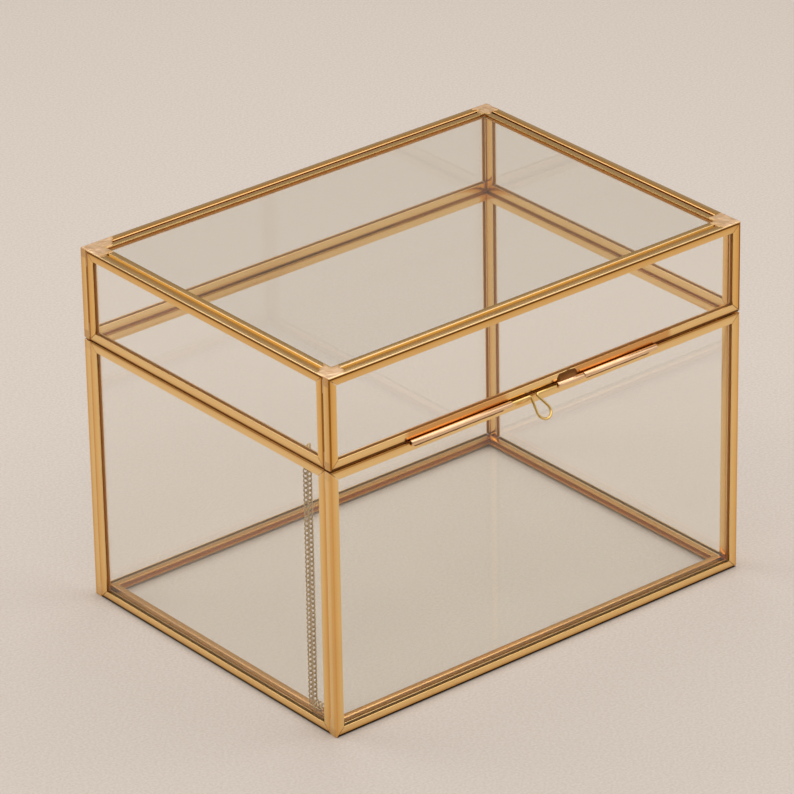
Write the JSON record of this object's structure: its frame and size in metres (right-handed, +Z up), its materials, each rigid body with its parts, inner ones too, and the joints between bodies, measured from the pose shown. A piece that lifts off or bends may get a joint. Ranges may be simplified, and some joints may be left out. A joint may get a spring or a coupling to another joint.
{
  "type": "glass casket box",
  "caption": "Clear glass box in soldered brass channel, with a hinged glass lid, a sliding wire latch with a pull loop, and a stay chain.",
  "frame": {"origin": "bottom centre of the whole object's outline, on the table", "axes": "+X to the right along the front, +Y to the rear where the hinge is, +Z up"},
  "size_m": [0.266, 0.2102, 0.197],
  "materials": {
    "brass_channel": "fine brushed, lightly aged, browner by the solder",
    "brass_wire": "drawn, semi-bright",
    "chain_brass": "bright, slightly aged",
    "solder": "smooth, brass plated, pinkish gold",
    "clear_glass": "clear, faint green tint"
  },
  "bodies": {
    "base": {"base_front_channel_bottom": "brass_channel", "base_front_channel_right": "brass_channel", "base_front_channel_top": "brass_channel", "base_front_channel_left": "brass_channel", "base_rear_channel_bottom": "brass_channel", "base_rear_channel_right": "brass_channel", "base_rear_channel_top": "brass_channel", "base_rear_channel_left": "brass_channel", "base_left_channel_bottom": "brass_channel", "base_left_channel_rear": "brass_channel", "base_left_channel_top": "brass_channel", "base_left_channel_front": "brass_channel", "base_right_channel_bottom": "brass_channel", "base_right_channel_rear": "brass_channel", "base_right_channel_top": "brass_channel", "base_right_channel_front": "brass_channel", "base_front_glass": "clear_glass", "base_rear_glass": "clear_glass", "base_left_glass": "clear_glass", "base_right_glass": "clear_glass", "base_bottom_channels": "brass_channel", "base_bottom_glass": "clear_glass", "base_corner_solder": "solder", "latch_tube_left": "brass_wire", "latch_tube_right": "brass_wire", "hinge_base_knuckles": "brass_wire", "hinge_pin": "brass_wire", "chain_base_eye": "chain_brass"},
    "lid": {"lid_front_channel_bottom": "brass_channel", "lid_front_channel_right": "brass_channel", "lid_front_channel_top": "brass_channel", "lid_front_channel_left": "brass_channel", "lid_rear_channel_bottom": "brass_channel", "lid_rear_channel_right": "brass_channel", "lid_rear_channel_top": "brass_channel", "lid_rear_channel_left": "brass_channel", "lid_left_channel_bottom": "brass_channel", "lid_left_channel_rear": "brass_channel", "lid_left_channel_top": "brass_channel", "lid_left_channel_front": "brass_channel", "lid_right_channel_bottom": "brass_channel", "lid_right_channel_rear": "brass_channel", "lid_right_channel_top": "brass_channel", "lid_right_channel_front": "brass_channel", "lid_front_glass": "clear_glass", "lid_rear_glass": "clear_glass", "lid_left_glass": "clear_glass", "lid_right_glass": "clear_glass", "lid_top_channels": "brass_channel", "lid_top_glass": "clear_glass", "lid_corner_solder": "solder", "latch_knuckle": "brass_wire", "hinge_lid_knuckle": "brass_wire", "chain_lid_eye": "chain_brass"},
    "latch_wire": {"latch_pin": "brass_wire"},
    "base_strand": {"chain_base_strand": "chain_brass"},
    "base_tail": {"chain_base_tail": "chain_brass"},
    "lid_strand": {"chain_lid_strand": "chain_brass"},
    "lid_tail": {"chain_lid_tail": "chain_brass"}
  },
  "joints": [
    {"name": "lid_hinge", "type": "hinge", "parent": "base", "child": "lid", "pos_m": [0, 0.10353, 0.1466], "axis": [-1, 0, 0], "range_deg": [0, 112]},
    {"name": "latch_slide", "type": "slide", "parent": "base", "child": "latch_wire", "axis": [1, 0, 0], "range_m": [-0.011, 0.012]},
    {"name": "chain_base_swing", "type": "hinge", "parent": "base", "child": "base_strand", "pos_m": [-0.1269, -0.06922, 0.14285], "axis": [1, 0, 0], "range_deg": [0, 124.8]},
    {"name": "chain_base_tail_fold", "type": "hinge", "parent": "base_strand", "child": "base_tail", "pos_m": [-0.1269, -0.06922, 0.00754], "axis": [1, 0, 0], "range_deg": [0, 90.5]},
    {"name": "chain_lid_swing", "type": "hinge", "parent": "lid", "child": "lid_strand", "pos_m": [-0.1244, -0.06922, 0.14845], "axis": [1, 0, 0], "range_deg": [0, 56.8]},
    {"name": "chain_lid_tail_fold", "type": "hinge", "parent": "lid_strand", "child": "lid_tail", "pos_m": [-0.1244, -0.06922, 0.00794], "axis": [1, 0, 0], "range_deg": [0, 90.5]}
  ],
  "couplings": [
    {"joint": "chain_base_swing", "follows": "lid_hinge", "ratio": 1.1099},
    {"joint": "chain_base_tail_fold", "follows": "lid_hinge", "ratio": 0.8036},
    {"joint": "chain_lid_swing", "follows": "lid_hinge", "ratio": 0.5028},
    {"joint": "chain_lid_tail_fold", "follows": "lid_hinge", "ratio": 0.8036}
  ]
}
